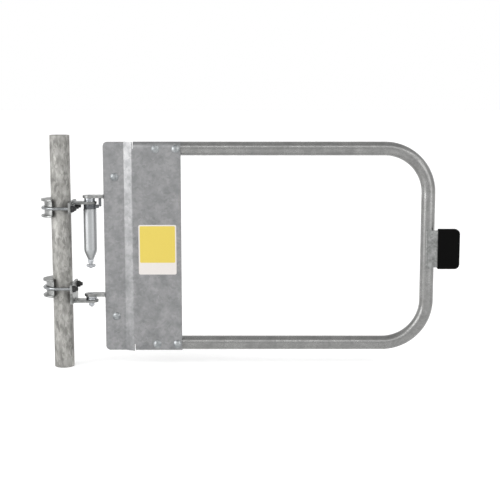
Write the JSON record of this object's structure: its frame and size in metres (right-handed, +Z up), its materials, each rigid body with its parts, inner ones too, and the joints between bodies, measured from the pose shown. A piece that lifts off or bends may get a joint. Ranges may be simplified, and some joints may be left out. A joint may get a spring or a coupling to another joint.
{
  "type": "self-closing safety gate",
  "caption": "Bolt-on safety gate: bent tube in a galvanised plate, sprung shut by a canister hinge that U-bolts clamp to a short post.",
  "frame": {"origin": "centre of the post's foot, in the plane of its lower end", "axes": "+Z up along the post, +X from the post along the closed gate to its stop, -Y to the side where the gate opens"},
  "size_m": [1.0197, 0.0944, 0.572],
  "materials": {
    "galvanised": "hot-dip galvanised, dull with a fine spangle",
    "zinc_plated": "zinc-plated fasteners, satin",
    "stainless": "stainless tube, half polished",
    "black_plastic": "black moulded caps, satin",
    "black_rubber": "black rubber, matt"
  },
  "bodies": {
    "post": {"post_tube": "galvanised", "upper_clamp_plate": "galvanised", "upper_post_lug": "galvanised", "upper_u_bolt": "zinc_plated", "upper_saddle": "galvanised", "upper_front_nut": "zinc_plated", "upper_rear_nut": "zinc_plated", "upper_front_cap": "black_plastic", "upper_rear_cap": "black_plastic", "lower_clamp_plate": "galvanised", "lower_post_lug": "galvanised", "lower_u_bolt": "zinc_plated", "lower_saddle": "galvanised", "lower_front_nut": "zinc_plated", "lower_rear_nut": "zinc_plated", "lower_front_cap": "black_plastic", "lower_rear_cap": "black_plastic", "upper_hinge_pin": "zinc_plated", "upper_bushing": "zinc_plated", "lower_hinge_pin": "zinc_plated", "lower_bushing": "zinc_plated", "lower_pin_nut": "zinc_plated", "spring_canister": "stainless", "spring_nut": "zinc_plated", "tension_disc": "zinc_plated"},
    "gate": {"spring_collar": "galvanised", "spring_catch": "galvanised", "hinge_strap": "galvanised", "upper_gate_lug": "galvanised", "lower_gate_lug": "galvanised", "gate_plate": "galvanised", "upper_strap_bolt": "zinc_plated", "upper_strap_nut": "zinc_plated", "lower_strap_bolt": "zinc_plated", "lower_strap_nut": "zinc_plated", "bent_tube": "galvanised", "upper_tube_bolts": "zinc_plated", "upper_tube_nuts": "zinc_plated", "lower_tube_bolts": "zinc_plated", "lower_tube_nuts": "zinc_plated", "stop_tab": "galvanised", "stop_pad": "black_rubber"}
  },
  "joints": [
    {"name": "gate_hinge", "type": "hinge", "parent": "post", "child": "gate", "pos_m": [0.07025, 0, 0.299], "axis": [0, 0, -1], "range_deg": [0, 90], "stiffness_Nm_per_rad": 3, "springref_deg": -45.84}
  ]
}
